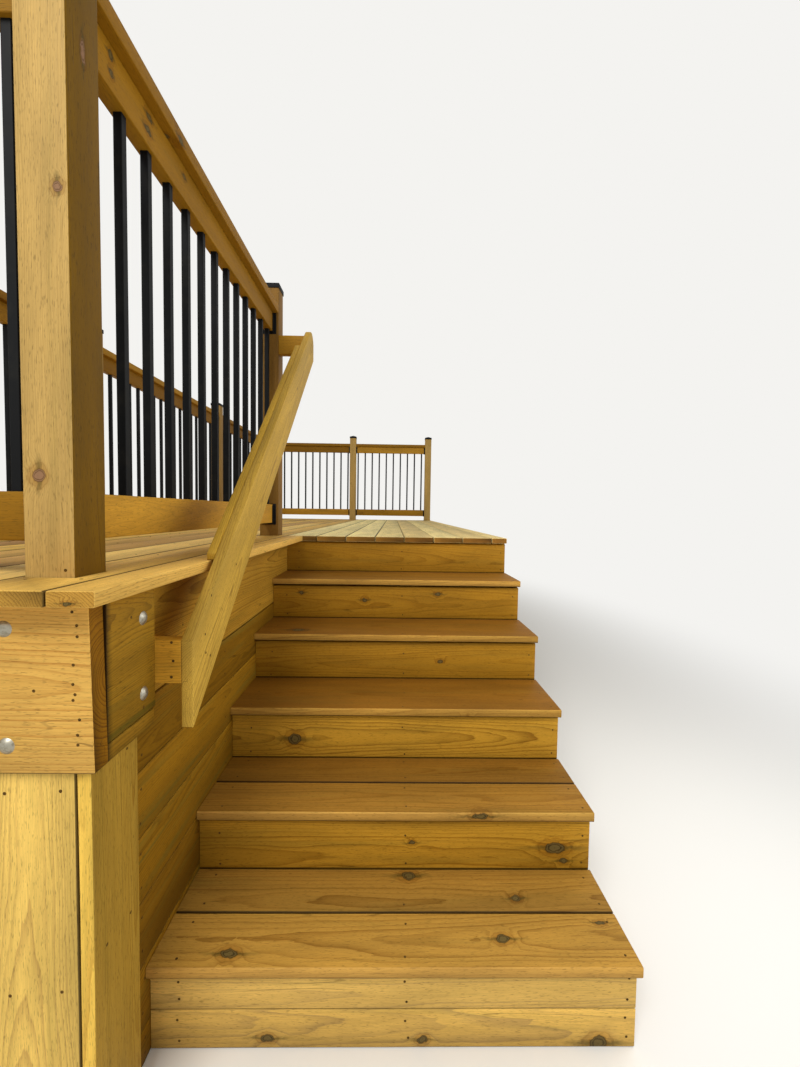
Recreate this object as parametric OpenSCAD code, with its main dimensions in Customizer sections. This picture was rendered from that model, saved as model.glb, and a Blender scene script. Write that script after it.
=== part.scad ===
// Wooden porch stairs with deck, guard rail and plank handrail.
// Millimetres. Z up, Y runs from the foot of the flight towards the back, X to the house wall.

/* [Flight] */
// Length of every tread
flight_w = 1080; // [800:10:1500]
// Height of the first tread above the ground
first_rise = 205; // [180:1:210]
// Height from one tread to the next
rise = 172.7; // [160:0.1:185]
// Distance from one riser to the next
run = 264; // [250:1:300]
// Overhang of a tread in front of its riser
nosing = 19; // [10:1:30]
// Thickness of treads, risers, decking and skirting
board_t = 25.4; // [20:0.1:32]
// Width of one board
board_w = 140; // [120:1:150]
// Gap between two boards lying side by side
board_gap = 3; // [2:0.5:6]
// Gap between a riser and the tread above it
riser_gap = 6.3; // [3:0.1:12]
// Depth of the planks the stringers are sawn from
stringer_d = 286; // [260:1:300]

/* [Deck] */
// Depth of the deck from the top riser to the back rim
landing_d = 4626; // [3600:0.5:5000]
// Width of the wing beside the flight, rim face to rim face
wing_w = 1382; // [1100:1:1500]
// How far the wing reaches in front of the first riser
wing_front = 236; // [220:1:300]
// Overhang of the decking past the front board
front_overhang = 57; // [20:1:70]
// Overhang of the decking past the stair side of the wing
side_overhang = 79; // [50:1:80]
// Thickness of rims, joists and stringers
rim_t = 38; // [35:1:45]
// Depth of the rims
rim_h = 254; // [240:1:258]
// Depth of the board on the front of the wing
fascia_h = 286; // [270:1:300]
// Depth of the joists
joist_h = 235; // [200:1:250]

/* [Guard rail] */
// Side of the square posts
post_w = 89; // [85:1:100]
// Height of the posts above the decking
post_h = 1192; // [1150:1:1300]
// Gap under the bottom rail
rail_gap = 62; // [40:1:90]
// Depth of a rail standing on edge, and width of the flat cap rail
rail_h = 89; // [80:1:100]
// Visible length of the balusters
baluster_h = 819; // [700:1:860]
// Side of the square balusters
baluster_w = 19; // [16:1:25]
// Thickness of the black bracket plates
bracket_t = 3; // [2:0.5:4]
// Depth of the collar that holds a rail end
bracket_l = 16; // [10:1:70]
// Width of a bracket plate
bracket_w = 68; // [56:1:80]

/* [Handrail] */
// Distance of the handrail from the skirting face
handrail_x = 90; // [84:1:120]
// Slope of the handrail in degrees
handrail_slope = 40; // [37:0.1:42]
// Height of the underside of the handrail at its lower end
handrail_z = 742; // [700:1:780]
// Radius on the upper end of the handrail
handrail_r = 55; // [20:1:60]
// Thickness of the strip along the inner face of the handrail
strip_w = 22; // [15:1:30]
// Depth of that strip
strip_h = 38; // [20:1:60]

/* [Edges and bolts] */
// Rounding along the edges of boards, posts and rails
edge_r = 3; // [1:0.5:6]
// Diameter of the carriage bolts through the corner post
bolt_d = 12.7; // [8:0.1:14]
// Diameter of the domed bolt heads
bolt_head = 27; // [20:0.5:32]

/* [Hidden] */
steps = 5;
deck_top = first_rise + steps * rise;
deck_under = deck_top - board_t;
pitch = board_w + board_gap;
joint_x = 4.7;
top_riser_y = steps * run;
header_y = top_riser_y + board_t;
back_y = top_riser_y + landing_d + rim_t;
back_post_y = back_y - rim_t - post_w;
fascia_y = -wing_front;
front_rim_y = fascia_y + rim_t;
front_post_y = front_rim_y + rim_t;
front_edge = fascia_y - front_overhang;
back_edge = back_y + 41;
left_x = -wing_w;
left_boards = ceil((wing_w + joint_x + 20) / pitch);
left_edge = joint_x - left_boards * pitch + board_gap / 2;
post_x = -rim_t - post_w;
left_post_x = left_x + rim_t;
newel_y = top_riser_y - 25;
rail_z = deck_top + rail_gap;
top_rail_z = rail_z + rail_h + baluster_h;
cap_rail_z = top_rail_z + rail_h;
ply_end_y = -39;
rim_z = deck_under - rim_h;
fascia_z = deck_under - fascia_h;
side_bays = 3;
side_bay = (back_post_y - front_post_y) / side_bays;
left_post_y = [for (i = [0 : side_bays]) front_post_y + i * side_bay];
mid_post_x = -117;
end_post_x = 974;
joist_step = 405;
joist_y = header_y + 440;
last_joist = floor((back_post_y - joist_y - rim_t - 30) / joist_step);
right_x = flight_w;
origin_x = -(left_edge + right_x) / 2;
origin_y = -(front_edge + back_edge) / 2;
wood = [0.80, 0.60, 0.30];
dark_wood = [0.62, 0.45, 0.20];
pale_wood = [0.88, 0.78, 0.55];
black = [0.08, 0.08, 0.09];
steel = [0.62, 0.64, 0.66];

// Everything is modelled from the foot of the flight, then moved to the middle of the footprint.
module placed() {
  translate([origin_x, origin_y, 0]) children();
}

module box(x0, y0, z0, x1, y1, z1) {
  translate([x0, y0, z0]) cube([x1 - x0, y1 - y0, z1 - z0]);
}

// Rectangle with rounded corners, the section of every sawn board.
module eased(w, h, r) {
  translate([r, 0]) square([w - 2 * r, h]);
  translate([0, r]) square([w, h - 2 * r]);
  for (x = [r, w - r])
    for (y = [r, h - r])
      translate([x, y]) circle(r = r, $fn = 32);
}

// Boards between two corners, with rounded edges along X, Y or Z.
module board_x(x0, y0, z0, x1, y1, z1, r = edge_r) {
  translate([x0, y0, z0])
    rotate([90, 0, 90])
      linear_extrude(height = x1 - x0) eased(y1 - y0, z1 - z0, r);
}

module board_y(x0, y0, z0, x1, y1, z1, r = edge_r) {
  translate([x0, y1, z0])
    rotate([90, 0, 0])
      linear_extrude(height = y1 - y0) eased(x1 - x0, z1 - z0, r);
}

module board_z(x0, y0, z0, x1, y1, z1, r = edge_r) {
  translate([x0, y0, z0])
    linear_extrude(height = z1 - z0) eased(x1 - x0, y1 - y0, r);
}

// A profile drawn in the Y-Z plane and extruded along X.
module side_profile(x0, thickness) {
  translate([x0, 0, 0])
    rotate([90, 0, 90])
      linear_extrude(height = thickness) children();
}

// One tread: two boards on the lower steps, one wide board above them.
module tread(k, split) {
  front = (k - 1) * run - nosing;
  back = k * run;
  top = first_rise + (k - 1) * rise;
  seam = front + board_w;
  placed() {
    if (split) {
      board_x(0, front, top - board_t, flight_w, seam, top);
      board_x(0, seam + board_gap, top - board_t, flight_w, back, top);
    } else {
      board_x(0, front, top - board_t, flight_w, back, top);
    }
  }
}

// Risers stand on the stringer cuts, the tread in front butts against them.
module risers() {
  color(wood) placed() {
    board_x(0, 0, 0, flight_w - 4, board_t, 89);
    board_x(0, 0, 90.5, flight_w - 4, board_t, first_rise - board_t);
    for (k = [2 : 6])
      board_x(0, (k - 1) * run, first_rise + (k - 2) * rise - board_t, flight_w - 4, (k - 1) * run + board_t,
              first_rise + (k - 1) * rise - board_t - riser_gap);
  }
}

// Sawn stringer with one notch for each tread.
module stringer(x0) {
  slope = rise / run;
  drop = stringer_d * sqrt(1 + slope * slope);
  seat = first_rise - board_t;
  foot = board_t + (drop - seat) / slope;
  side_profile(x0, rim_t) polygon([
    [board_t, 0],
    [foot, 0],
    [header_y, seat - drop + slope * (header_y - board_t)],
    [header_y, seat + 4 * rise],
    [4 * run + board_t, seat + 4 * rise],
    [4 * run + board_t, seat + 3 * rise],
    [3 * run + board_t, seat + 3 * rise],
    [3 * run + board_t, seat + 2 * rise],
    [2 * run + board_t, seat + 2 * rise],
    [2 * run + board_t, seat + rise],
    [run + board_t, seat + rise],
    [run + board_t, seat],
    [board_t, seat]
  ]);
}

module stringers() {
  color(wood) placed() for (i = [0 : 2]) stringer(i * (flight_w - 4 - rim_t) / 2);
}

// Square openings in the decking where the posts pass through.
module post_holes() {
  slack = 2;
  z0 = deck_under - 10;
  z1 = deck_top + 10;
  for (y = [front_post_y, newel_y])
    box(post_x - slack, y - slack, z0, post_x + post_w + slack, y + post_w + slack, z1);
  for (y = left_post_y)
    box(left_post_x - slack, y - slack, z0, left_post_x + post_w + slack, y + post_w + slack, z1);
  for (x = [mid_post_x, end_post_x])
    box(x - slack, back_post_y - slack, z0, x + post_w + slack, back_post_y + post_w + slack, z1);
}

// The long boards are butted over a joist, alternately over the fifth and the seventh.
module wing_decking() {
  color(pale_wood) placed() difference() {
    union() {
      for (k = [-left_boards : -1]) {
        x0 = joint_x + k * pitch + board_gap / 2;
        butt = joist_y + (k % 2 == 0 ? 4 : 6) * joist_step + rim_t / 2;
        board_y(x0, front_edge, deck_under, x0 + board_w, butt - board_gap / 2, deck_top);
        board_y(x0, butt + board_gap / 2, deck_under, x0 + board_w, back_edge, deck_top);
      }
      board_y(joint_x + board_gap / 2, front_edge, deck_under, side_overhang, top_riser_y - nosing, deck_top);
    }
    post_holes();
  }
}

module landing_decking() {
  color(pale_wood) placed() difference() {
    for (k = [0 : 7])
      board_y(joint_x + k * pitch + board_gap / 2, top_riser_y - nosing + (k == 0 ? board_gap : 0), deck_under,
              min(right_x, joint_x + (k + 1) * pitch - board_gap / 2), back_edge, deck_top);
    post_holes();
  }
}

module front_fascia() {
  color(wood) placed() difference() {
    board_x(left_x, fascia_y, fascia_z, rim_t, front_rim_y, deck_under);
    bolt_holes();
  }
}

module front_rim() {
  color(wood) placed() difference() {
    board_x(left_x, front_rim_y, rim_z, 0, front_post_y, deck_under);
    bolt_holes();
  }
}

module side_rim() {
  color(wood) placed() difference() {
    board_y(-rim_t, front_post_y, rim_z, 0, header_y, deck_under);
    bolt_holes();
  }
}

// Second plank on the stair side of the corner, over a strip that makes it as deep as the front board.
module side_ply() {
  color(wood) placed() {
    difference() {
      board_y(0, front_rim_y, rim_z, rim_t, ply_end_y, deck_under);
      bolt_holes();
    }
    board_y(0, front_rim_y, fascia_z, rim_t, ply_end_y - 6, rim_z - 1.5, 2);
  }
}

module left_rim() {
  color(wood) placed() board_y(left_x, front_post_y, rim_z, left_post_x, back_y - rim_t, deck_under);
}

module back_rim() {
  color(wood) placed() board_x(left_x, back_y - rim_t, rim_z, right_x, back_y, deck_under);
}

module landing_header() {
  color(wood) placed() board_x(-rim_t, header_y, rim_z, right_x - rim_t, header_y + rim_t, deck_under);
}

module house_ledger() {
  color(wood) placed() board_y(right_x - rim_t, header_y, rim_z, right_x, back_y - rim_t, deck_under);
}

module deck_joists() {
  z0 = deck_under - joist_h;
  color(wood) placed() {
    for (y = [250, 650, 1050])
      board_x(left_post_x, y, z0, -rim_t, y + rim_t, deck_under);
    board_x(left_post_x, header_y, z0, post_x, header_y + rim_t, deck_under);
    for (i = [0 : last_joist])
      board_x(left_post_x, joist_y + i * joist_step, z0,
              right_x - rim_t, joist_y + i * joist_step + rim_t, deck_under);
  }
}

module post(x, y) {
  board_z(x, y, 0, x + post_w, y + post_w, deck_top + post_h);
}

module corner_post() {
  color(wood) placed() difference() {
    post(post_x, front_post_y);
    bolt_holes();
  }
}

module newel_post() {
  color(wood) placed() post(post_x, newel_y);
}

module left_posts() {
  color(wood) placed() for (y = left_post_y) post(left_post_x, y);
}

module back_posts() {
  color(wood) placed() for (x = [mid_post_x, end_post_x]) post(x, back_post_y);
}

// Low black cap: a square skirt round the post top under a shallow pyramid.
module post_cap(x, y) {
  wall = 3;
  skirt = 15;
  band = 22;
  side = post_w + 2 * wall;
  translate([x + post_w / 2, y + post_w / 2, deck_top + post_h - skirt]) {
    difference() {
      translate([-side / 2, -side / 2, 0]) cube([side, side, band]);
      translate([-post_w / 2, -post_w / 2, -1]) cube([post_w, post_w, skirt + 1]);
    }
    translate([0, 0, band])
      linear_extrude(height = 18, scale = 0.12)
        square([side, side], center = true);
  }
}

module post_caps() {
  color(black) placed() {
    for (y = [front_post_y, newel_y]) post_cap(post_x, y);
    for (y = left_post_y) post_cap(left_post_x, y);
    for (x = [mid_post_x, end_post_x]) post_cap(x, back_post_y);
  }
}

// A rail between two posts along Y: x is the left face of the posts.
module rail_y(x, y0, y1, z, w, h) {
  board_y(x + (post_w - w) / 2, y0 + bracket_t, z, x + (post_w + w) / 2, y1 - bracket_t, z + h);
}

module rail_x(y, x0, x1, z, w, h) {
  board_x(x0 + bracket_t, y + (post_w - w) / 2, z, x1 - bracket_t, y + (post_w + w) / 2, z + h);
}

module balusters_y(x, y0, first, step, count) {
  for (i = [0 : count - 1])
    board_z(x + (post_w - baluster_w) / 2, y0 + first + i * step - baluster_w / 2, rail_z + rail_h,
            x + (post_w + baluster_w) / 2, y0 + first + i * step + baluster_w / 2, top_rail_z, 2);
}

module balusters_x(y, x0, first, step, count) {
  for (i = [0 : count - 1])
    board_z(x0 + first + i * step - baluster_w / 2, y + (post_w - baluster_w) / 2, rail_z + rail_h,
            x0 + first + i * step + baluster_w / 2, y + (post_w + baluster_w) / 2, top_rail_z, 2);
}

near_y0 = front_post_y + post_w;
near_y1 = newel_y;
front_x0 = left_post_x + post_w;
front_x1 = post_x;

module near_bottom_rail() {
  color(wood) placed() rail_y(post_x, near_y0, near_y1, rail_z, rim_t, rail_h);
}

module near_top_rail() {
  color(wood) placed() rail_y(post_x, near_y0, near_y1, top_rail_z, rim_t, rail_h);
}

module near_cap_rail() {
  color(wood) placed()
    board_y(post_x, near_y0, cap_rail_z, post_x + rail_h, near_y1, cap_rail_z + rim_t);
}

module near_balusters() {
  color(black) placed() balusters_y(post_x, near_y0, 36, 107.6, 13);
}

module front_bottom_rail() {
  color(wood) placed() rail_x(front_post_y, front_x0, front_x1, rail_z, rim_t, rail_h);
}

module front_top_rail() {
  color(wood) placed() rail_x(front_post_y, front_x0, front_x1, top_rail_z, rim_t, rail_h);
}

module front_cap_rail() {
  color(wood) placed()
    board_x(front_x0, front_post_y, cap_rail_z, front_x1, front_post_y + rail_h, cap_rail_z + rim_t);
}

module front_balusters() {
  color(black) placed()
    balusters_x(front_post_y, front_x0, 38, (front_x1 - front_x0 - 76) / 10, 11);
}

left_y0 = [for (i = [0 : side_bays - 1]) left_post_y[i] + post_w];
left_y1 = [for (i = [1 : side_bays]) left_post_y[i]];
back_x0 = [front_x0, mid_post_x + post_w];
back_x1 = [mid_post_x, end_post_x];

module left_bottom_rails() {
  color(wood) placed()
    for (i = [0 : 2]) rail_y(left_post_x, left_y0[i], left_y1[i], rail_z, rim_t, rail_h);
}

module left_top_rails() {
  color(wood) placed()
    for (i = [0 : 2]) rail_y(left_post_x, left_y0[i], left_y1[i], top_rail_z, rim_t, rail_h);
}

module left_cap_rails() {
  color(wood) placed()
    for (i = [0 : 2])
      board_y(left_post_x, left_y0[i], cap_rail_z, left_post_x + rail_h, left_y1[i], cap_rail_z + rim_t);
}

module left_balusters() {
  color(black) placed()
    for (i = [0 : 2])
      balusters_y(left_post_x, left_y0[i], 30, (left_y1[i] - left_y0[i] - 60) / 17, 18);
}

module back_bottom_rails() {
  color(wood) placed()
    for (i = [0 : 1]) rail_x(back_post_y, back_x0[i], back_x1[i], rail_z, rim_t, rail_h);
}

module back_top_rails() {
  color(wood) placed()
    for (i = [0 : 1]) rail_x(back_post_y, back_x0[i], back_x1[i], top_rail_z, rim_t, rail_h);
}

module back_cap_rails() {
  color(wood) placed()
    for (i = [0 : 1])
      board_x(back_x0[i], back_post_y, cap_rail_z, back_x1[i], back_post_y + rail_h, cap_rail_z + rim_t);
}

module back_balusters() {
  color(black) placed() {
    balusters_x(back_post_y, back_x0[0], 83, 102.6, 11);
    balusters_x(back_post_y, back_x0[1], 29, 102.6, 10);
  }
}

// A plate screwed to the post, with a shallow collar folded from it that the rail end sits in.
// It is drawn for a rail running in +Y from its post; extra is the plate above and below the rail.
module bracket(z, low, high) {
  half = rim_t / 2 + bracket_t;
  box(-bracket_w / 2, 0, z - low, bracket_w / 2, bracket_t, z + rail_h + high);
  difference() {
    box(-half, 0, z - bracket_t, half, bracket_l, z + rail_h - 4);
    box(-rim_t / 2, -1, z, rim_t / 2, bracket_l + 1, z + rail_h);
  }
}

module brackets_at(x, y, turn) {
  translate([x, y, 0]) rotate([0, 0, turn]) {
    bracket(rail_z, 9, 3);
    bracket(top_rail_z, 9, 0);
  }
}

module rail_brackets() {
  half = post_w / 2;
  color(black) placed() {
    brackets_at(post_x + half, near_y0, 0);
    brackets_at(post_x + half, near_y1, 180);
    brackets_at(front_x0, front_post_y + half, -90);
    brackets_at(front_x1, front_post_y + half, 90);
    for (i = [0 : 2]) {
      brackets_at(left_post_x + half, left_y0[i], 0);
      brackets_at(left_post_x + half, left_y1[i], 180);
    }
    for (i = [0 : 1]) {
      brackets_at(back_x0[i], back_post_y + half, -90);
      brackets_at(back_x1[i], back_post_y + half, 90);
    }
  }
}

// Plank on edge, plumb cut at the foot and rounded at the top.
module handrail() {
  t = tan(handrail_slope);
  y0 = ply_end_y;
  y1 = 1375;
  plumb = board_w / cos(handrail_slope);
  half = (90 - handrail_slope) / 2;
  back = handrail_r / tan(half);
  z1 = handrail_z + plumb + t * (y1 - y0);
  color(wood) placed() side_profile(handrail_x, board_t) union() {
    polygon([
      [y0, handrail_z],
      [y1, handrail_z + t * (y1 - y0)],
      [y1, z1 - back],
      [y1 - back * cos(handrail_slope), z1 - back * sin(handrail_slope)],
      [y0, handrail_z + plumb]
    ]);
    translate([y1 - handrail_r, z1 - back]) circle(r = handrail_r, $fn = 96);
  }
}

// Strip along the inner top edge of the plank, standing on the edge of the decking.
module handrail_strip() {
  t = tan(handrail_slope);
  high = handrail_z + board_w / cos(handrail_slope) - t * ply_end_y;
  low = high - strip_h / cos(handrail_slope);
  y0 = (deck_top - high) / t + 20;
  y1 = 1165;
  color(wood) placed() side_profile(handrail_x - strip_w, strip_w) polygon([
    [y0, deck_top],
    [(deck_top - low) / t, deck_top],
    [y1, low + t * y1],
    [y1, high + t * y1],
    [y0, high + t * y0]
  ]);
}

module handrail_lower_block() {
  color(wood) placed() board_x(0, ply_end_y, 835, handrail_x, ply_end_y + rim_t, 835 + rail_h);
}

module handrail_upper_block() {
  color(wood) placed()
    board_x(-rim_t, newel_y + 2, 1937, handrail_x, newel_y + 2 + rim_t, 1937 + rail_h);
}

// Level boards from the rim down to the ground, the lowest one cut to what is left.
level_pitch = board_w + 1.5;
level_top = rim_z - 5;
level_whole = floor(level_top / level_pitch);

module side_skirting() {
  color(dark_wood) placed() {
    for (i = [0 : level_whole - 1])
      board_y(-board_t, front_rim_y, level_top - (i + 1) * level_pitch + 1.5, 0, header_y, level_top - i * level_pitch);
    board_y(-board_t, front_rim_y, 0, 0, header_y, level_top - level_whole * level_pitch);
  }
}

// Upright board on the corner, under the front board and the strip below the ply.
module corner_board() {
  color(dark_wood) placed()
    board_z(0, front_rim_y - board_t, 0, board_t, front_rim_y - board_t + board_w, fascia_z);
}

module front_skirting() {
  color(wood) placed()
    for (i = [0 : ceil((wing_w - 1.5) / pitch) - 1])
      board_z(max(left_x, -1.5 - i * pitch - board_w), front_rim_y - board_t, 0,
              -1.5 - i * pitch, front_rim_y, fascia_z);
}

module left_skirting() {
  color(dark_wood) placed() {
    for (i = [0 : level_whole - 1])
      board_y(left_x, front_rim_y, level_top - (i + 1) * level_pitch + 1.5,
              left_x + board_t, back_y - board_t, level_top - i * level_pitch);
    board_y(left_x, front_rim_y, 0, left_x + board_t, back_y - board_t, level_top - level_whole * level_pitch);
  }
}

module back_skirting() {
  color(dark_wood) placed() {
    for (i = [0 : level_whole - 1])
      board_x(left_x, back_y - board_t, level_top - (i + 1) * level_pitch + 1.5,
              right_x, back_y, level_top - i * level_pitch);
    board_x(left_x, back_y - board_t, 0, right_x, back_y, level_top - level_whole * level_pitch);
  }
}

module skirting_nailers() {
  color(wood) placed() {
    for (y = [near_y0, 420, 860, newel_y - rail_h])
      board_z(-board_t - rim_t, y, 0, -board_t, y + rail_h, rim_z);
    for (i = [0 : 2])
      for (j = [0 : 3]) {
        y = left_y0[i] + j * (left_y1[i] - left_y0[i] - rail_h) / 3;
        board_z(left_x + board_t, y, 0, left_x + board_t + rim_t, y + rail_h, rim_z);
      }
    for (z = [60, rim_z - rail_h])
      board_x(left_post_x, front_rim_y, z, -rim_t, front_post_y, z + rail_h);
    for (x = [left_post_x + post_w, -650, mid_post_x - rail_h, 450, end_post_x - rail_h])
      board_z(x, back_y - board_t - rim_t, 0, x + rail_h, back_y - board_t, rim_z);
  }
}

// Domed carriage bolts tie both rims, the front board and the ply to the corner post.
// The head sits at the origin and the shank runs in -Z.
bolt_y = -83;
bolt_x = -103;
side_bolt_z = [980, 832];
front_bolt_z = [996, 804];
side_grip = 2 * rim_t + post_w;
front_grip = 2 * rim_t + post_w;

module on_side(z) {
  translate([rim_t, bolt_y, z]) rotate([0, 90, 0]) children();
}

module on_front(z) {
  translate([bolt_x, fascia_y, z]) rotate([90, 0, 0]) children();
}

module carriage_bolt(grip) {
  dome = 6;
  ball = (bolt_head * bolt_head / 4 + dome * dome) / (2 * dome);
  rotate_extrude($fn = 64) intersection() {
    translate([0, dome - ball]) circle(r = ball, $fn = 256);
    square([bolt_head, dome]);
  }
  translate([0, 0, -grip - 22]) cylinder(d = bolt_d, h = grip + 23, $fn = 48);
}

module bolt_holes() {
  for (z = side_bolt_z)
    on_side(z) translate([0, 0, -400]) cylinder(d = bolt_d + 1, h = 401, $fn = 48);
  for (z = front_bolt_z)
    on_front(z) translate([0, 0, -400]) cylinder(d = bolt_d + 1, h = 401, $fn = 48);
}

module rim_bolts() {
  color(steel) placed() {
    for (z = side_bolt_z) on_side(z) carriage_bolt(side_grip);
    for (z = front_bolt_z) on_front(z) carriage_bolt(front_grip);
  }
}

// Washer and six-sided nut on the far face of the corner post.
module nut(grip) {
  across = 19;
  corner = across / sqrt(3);
  translate([0, 0, -grip - 3]) difference() {
    union() {
      cylinder(d = 35, h = 3, $fn = 64);
      translate([0, 0, -11])
        linear_extrude(height = 12)
          polygon([for (i = [0 : 5]) [corner * cos(60 * i), corner * sin(60 * i)]]);
    }
    translate([0, 0, -20]) cylinder(d = bolt_d + 0.2, h = 40, $fn = 48);
  }
}

module bolt_nuts() {
  color(steel) placed() {
    for (z = side_bolt_z) on_side(z) nut(side_grip);
    for (z = front_bolt_z) on_front(z) nut(front_grip);
  }
}

color(wood) tread(1, true);  // tread_1
color(wood) tread(2, true);  // tread_2
color(wood) tread(3, false);  // tread_3
color(wood) tread(4, false);  // tread_4
color(wood) tread(5, false);  // tread_5
risers();
stringers();
wing_decking();
landing_decking();
front_fascia();
front_rim();
side_rim();
side_ply();
left_rim();
back_rim();
landing_header();
house_ledger();
deck_joists();
corner_post();
newel_post();
left_posts();
back_posts();
post_caps();
near_bottom_rail();
near_top_rail();
near_cap_rail();
near_balusters();
front_bottom_rail();
front_top_rail();
front_cap_rail();
front_balusters();
left_bottom_rails();
left_top_rails();
left_cap_rails();
left_balusters();
back_bottom_rails();
back_top_rails();
back_cap_rails();
back_balusters();
rail_brackets();
handrail();
handrail_strip();
handrail_lower_block();
handrail_upper_block();
side_skirting();
corner_board();
front_skirting();
left_skirting();
back_skirting();
skirting_nailers();
rim_bolts();
bolt_nuts();
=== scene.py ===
# Treated-pine deck stairs: boards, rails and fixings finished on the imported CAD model.
import bpy
import bmesh
import math
import random
from mathutils import Matrix, Vector


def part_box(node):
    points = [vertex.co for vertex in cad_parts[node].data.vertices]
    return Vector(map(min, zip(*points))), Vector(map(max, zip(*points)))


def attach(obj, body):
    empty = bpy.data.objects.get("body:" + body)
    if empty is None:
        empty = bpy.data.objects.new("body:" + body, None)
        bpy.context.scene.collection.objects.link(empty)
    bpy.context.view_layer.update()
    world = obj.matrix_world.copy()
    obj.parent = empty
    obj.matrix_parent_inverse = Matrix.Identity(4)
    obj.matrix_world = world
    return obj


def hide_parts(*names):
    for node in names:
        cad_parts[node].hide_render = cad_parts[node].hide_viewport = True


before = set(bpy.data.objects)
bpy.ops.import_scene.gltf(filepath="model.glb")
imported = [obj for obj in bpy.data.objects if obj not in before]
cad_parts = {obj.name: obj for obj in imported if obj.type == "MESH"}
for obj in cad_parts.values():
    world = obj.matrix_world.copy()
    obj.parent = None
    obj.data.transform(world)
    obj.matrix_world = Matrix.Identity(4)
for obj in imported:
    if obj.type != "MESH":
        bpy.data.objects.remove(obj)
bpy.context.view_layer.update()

mm = 0.001
steps = {"firstTop": 205.0, "rise": 172.7, "going": 264.0}  # mm, as in the CAD

cameraPlace = {
    "stairCorner": (171.9, -2866.0),  # foot of the flight, left end, in the frame (mm)
    "eye": (518.8, -987.8, 1192.6),  # from that corner (mm)
    "focalPx": 468.35,
    "longSidePx": 1067,
    "pitch": 0.046563,  # down
    "yaw": -0.015565,
    "roll": 0.013996,
}


def stairPoint(x, y, z):
    corner = cameraPlace["stairCorner"]
    return Vector(((x + corner[0]) * mm, (y + corner[1]) * mm, z * mm))


def inScene(name, data):
    # a new object that is in the scene
    thing = bpy.data.objects.new(name, data)
    bpy.context.scene.collection.objects.link(thing)
    return thing


def makeCamera(c):
    p, y, r = c["pitch"], c["yaw"], c["roll"]
    level = Vector((-math.sin(y), math.cos(y), 0))
    right = Vector((math.cos(y), math.sin(y), 0))
    ahead = level * math.cos(p) - Vector((0, 0, math.sin(p)))
    above = level * math.sin(p) + Vector((0, 0, math.cos(p)))
    rightRolled = right * math.cos(r) + above * math.sin(r)
    aboveRolled = above * math.cos(r) - right * math.sin(r)
    data = bpy.data.cameras.new("photoCamera")
    data.sensor_fit = "AUTO"
    data.sensor_width = 36
    data.lens = c["focalPx"] / c["longSidePx"] * data.sensor_width
    data.clip_start = 0.02
    cam = inScene("photoCamera", data)
    turn = Matrix((rightRolled, aboveRolled, -ahead)).transposed()
    cam.matrix_world = Matrix.Translation(stairPoint(*c["eye"])) @ turn.to_4x4()
    bpy.context.scene.camera = cam
    return cam


camera = makeCamera(cameraPlace)
print("camera placed, lens", round(camera.data.lens, 2))


def linear(hexColor):
    # a colour written in sRGB hex, in linear light
    values = [int(hexColor[i:i + 2], 16) / 255 for i in (1, 3, 5)]
    out = [v / 12.92 if v <= 0.04045 else ((v + 0.055) / 1.055) ** 2.4 for v in values]
    return (out[0], out[1], out[2], 1.0)


def add(tree, kind, inputs=(), out=0, stops=None, **settings):
    # one node with its settings, links and ramp stops; a kind without Node in its name is a shader node, and
    # its operation may follow a colon; inputs are a list in their order, or go by name or number; gives back
    # one output, or the node where out is None
    kind, _, operation = kind.partition(":")
    node = tree.nodes.new(kind if "Node" in kind else "ShaderNode" + kind)
    if operation:
        node.operation = operation
    for name, value in settings.items():
        setattr(node, name, value)
    for name, value in inputs.items() if isinstance(inputs, dict) else enumerate(inputs):
        socket = node.inputs[name]
        if isinstance(value, bpy.types.NodeSocket):
            tree.links.new(value, socket)
        else:
            socket.default_value = value
    if stops:
        elements = node.color_ramp.elements
        while len(elements) < len(stops):
            elements.new(0.5)
        for element, (place, color) in zip(elements, stops):
            element.position = place
            element.color = color if isinstance(color, tuple) else (color, color, color, 1.0)
    return node if out is None else node.outputs[out]


def emptyMaterial(name):
    material = bpy.data.materials.new(name)
    material.use_nodes = True
    material.node_tree.nodes.clear()
    return material, material.node_tree


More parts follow.
